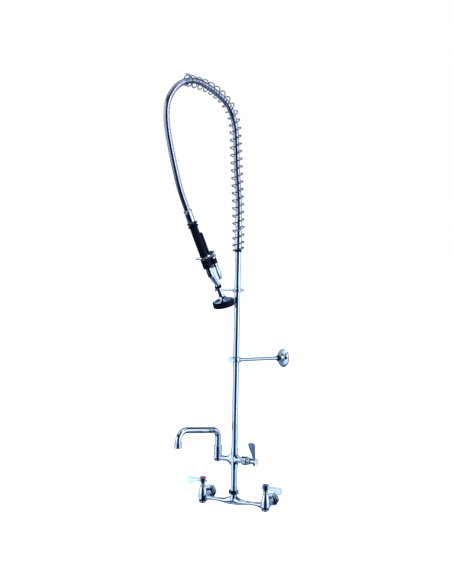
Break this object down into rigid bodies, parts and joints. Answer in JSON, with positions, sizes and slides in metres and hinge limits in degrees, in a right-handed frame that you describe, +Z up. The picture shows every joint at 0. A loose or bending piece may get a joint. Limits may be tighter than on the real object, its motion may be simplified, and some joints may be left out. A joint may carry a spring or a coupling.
{
  "type": "pre rinse faucet",
  "caption": "Wall-mounted pre-rinse faucet: mixing base with lever valves, riser with sprung overhead hose and squeeze spray valve, add-on swing spout, wall bracket and finger hook.",
  "frame": {"origin": "on the wall plane, midway between the two inlets, at the height of their axes", "axes": "+Z up along the riser, +Y into the wall, +X to the cold side"},
  "size_m": [0.3072, 0.4196, 1.1807],
  "materials": {
    "chrome": "mirror-bright chrome plating",
    "bright_chrome": "mirror-bright chrome plating on turned brass",
    "steel_hose": "close-braided stainless steel",
    "spring_steel": "polished stainless spring wire",
    "hot_lever_coat": "pale glossy coat",
    "cold_lever_coat": "pale glossy coat",
    "addon_lever_coat": "blue-grey glossy coat",
    "hot_index": "glossy magenta-red",
    "cold_index": "glossy violet-blue",
    "addon_index": "glossy grey",
    "black_rubber": "satin black",
    "black_plastic": "satin black",
    "navy_lever": "glossy blue-black",
    "knob_plastic": "glossy pale blue",
    "screw_steel": "plain stainless",
    "brass": "turned brass",
    "washer_rubber": "matt black",
    "pale_plastic": "white moulded plastic",
    "grey_face": "grey moulded plastic"
  },
  "bodies": {
    "faucet": {"faucet_base": "chrome", "inlet_union_nuts": "chrome", "inlet_washers": "washer_rubber", "valve_cartridges": "brass", "valve_bonnets": "bright_chrome", "outlet_washer": "washer_rubber", "riser_adapter": "bright_chrome", "outlet_union_nut": "bright_chrome", "lower_nipple": "chrome", "addon_body": "chrome", "addon_bonnet_nut": "bright_chrome", "spout_nut": "bright_chrome", "riser": "chrome", "spring_band": "black_rubber", "riser_coupling": "bright_chrome", "hose_lower_ferrule": "bright_chrome", "spring": "spring_steel", "hose": "steel_hose", "hose_upper_ferrule": "bright_chrome", "handle_tube": "brass", "spray_grip": "black_rubber", "spray_valve_body": "bright_chrome", "spray_body_sleeve": "black_plastic", "spray_valve_cap": "bright_chrome", "plunger_spring": "spring_steel", "lever_pivot": "screw_steel", "neck_nut": "bright_chrome", "spray_neck": "bright_chrome", "spray_shell": "bright_chrome", "spray_face": "grey_face", "face_screw": "screw_steel", "spray_bumper": "black_rubber"},
    "hot_valve": {"hot_stem": "brass", "hot_lever": "bright_chrome", "hot_handle_screw": "screw_steel", "hot_index_cap": "hot_index"},
    "cold_valve": {"cold_stem": "brass", "cold_lever": "bright_chrome", "cold_handle_screw": "screw_steel", "cold_index_cap": "cold_index"},
    "addon_valve": {"addon_stem": "brass", "addon_lever": "bright_chrome", "addon_handle_screw": "screw_steel", "addon_index_cap": "addon_index"},
    "swing_spout": {"spout": "chrome", "spout_seals": "washer_rubber", "aerator_shell": "bright_chrome", "aerator_insert": "pale_plastic"},
    "wall_bracket": {"bracket_clamp": "bright_chrome", "bracket_knob": "knob_plastic", "bracket_rod": "chrome", "bracket_lock_nut": "black_plastic", "wall_flange": "bright_chrome", "flange_screws": "screw_steel"},
    "finger_hook": {"hook_clamp": "bright_chrome", "hook_rod": "chrome", "hook_screw": "bright_chrome"},
    "squeeze": {"squeeze_lever": "navy_lever"},
    "plunger_body": {"plunger": "bright_chrome"},
    "ring": {"hold_ring": "spring_steel"}
  },
  "joints": [
    {"name": "hot_lever_turn", "type": "hinge", "parent": "faucet", "child": "hot_valve", "pos_m": [-0.1016, -0.045, 0.035], "axis": [0, 0, 1], "range_deg": [0, 90]},
    {"name": "cold_lever_turn", "type": "hinge", "parent": "faucet", "child": "cold_valve", "pos_m": [0.1016, -0.045, 0.035], "axis": [0, 0, 1], "range_deg": [-90, 0]},
    {"name": "addon_lever_turn", "type": "hinge", "parent": "faucet", "child": "addon_valve", "pos_m": [0.062, -0.045, 0.1055], "axis": [1, 0, 0], "range_deg": [0, 90]},
    {"name": "spout_swing", "type": "hinge", "parent": "faucet", "child": "swing_spout", "pos_m": [-0.0544, -0.045, 0.13], "axis": [0, 0, 1], "range_deg": [-90, 80]},
    {"name": "bracket_swivel", "type": "hinge", "parent": "faucet", "child": "wall_bracket", "pos_m": [0, -0.045, 0.382], "axis": [0, 0, 1], "range_deg": [-67, 113]},
    {"name": "hook_swivel", "type": "hinge", "parent": "faucet", "child": "finger_hook", "pos_m": [0, -0.045, 0.575], "axis": [0, 0, 1], "range_deg": [-90, 0]},
    {"name": "lever_squeeze", "type": "hinge", "parent": "faucet", "child": "squeeze", "pos_m": [-0.02874, -0.13345, 0.67921], "axis": [-0.9511, 0.309, 0], "range_deg": [-3.5, 0], "stiffness_Nm_per_rad": 0.0005, "springref_deg": 64.17},
    {"name": "plunger_stroke", "type": "slide", "parent": "faucet", "child": "plunger_body", "axis": [0.1382, 0.4253, -0.8944], "range_m": [0, 0.0004276], "stiffness_N_per_m": 5, "springref_m": -0.0255},
    {"name": "ring_swing", "type": "hinge", "parent": "faucet", "child": "ring", "pos_m": [-0.0277, -0.13026, 0.6725], "axis": [-0.9511, 0.309, 0], "range_deg": [0, 20]}
  ],
  "couplings": [
    {"joint": "lever_squeeze", "follows": "plunger_stroke", "rad_per_m": -142.86}
  ]
}
